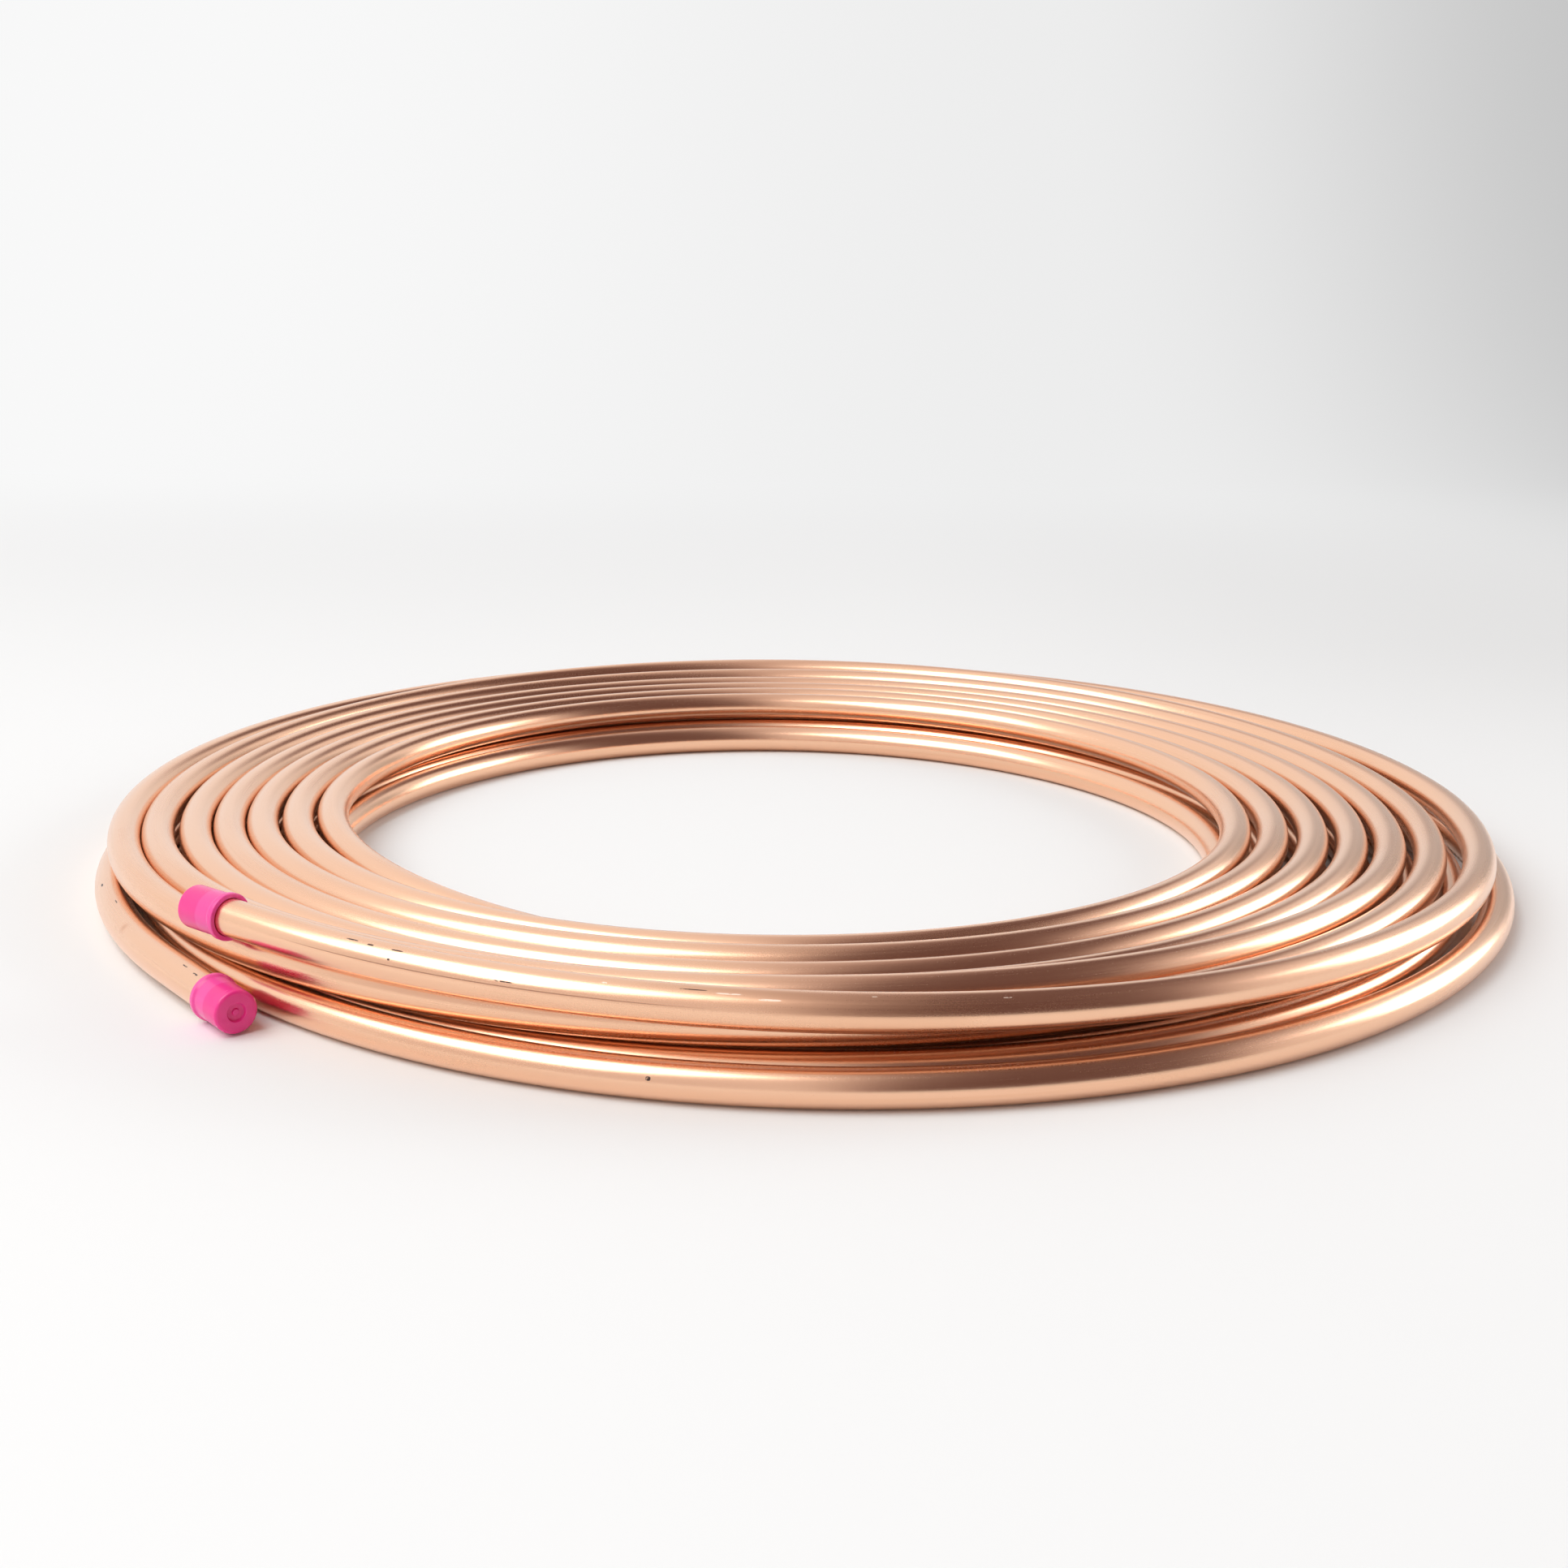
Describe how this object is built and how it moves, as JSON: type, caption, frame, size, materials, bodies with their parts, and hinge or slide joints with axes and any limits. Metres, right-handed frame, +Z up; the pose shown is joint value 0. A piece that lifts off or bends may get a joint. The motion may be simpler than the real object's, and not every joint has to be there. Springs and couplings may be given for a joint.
{
  "type": "copper tube coil",
  "caption": "Soft-drawn copper tube wound as a flat, open-centred coil of two layers, with a moulded push-on cap over each end.",
  "frame": {"origin": "middle of the whole coil's outline seen from above, on the floor that it lies on", "axes": "+Z up along the coil's winding axis; +X to the coil's right and +Y to its back, as seen with both capped ends at the front left"},
  "size_m": [0.4352, 0.4296, 0.0306],
  "materials": {
    "copper": null,
    "cap_plastic": "glossy, slightly translucent pink plastic"
  },
  "bodies": {
    "root": {"copper_tube": "copper", "upper_end_cap": "cap_plastic", "lower_end_cap": "cap_plastic"}
  },
  "joints": []
}
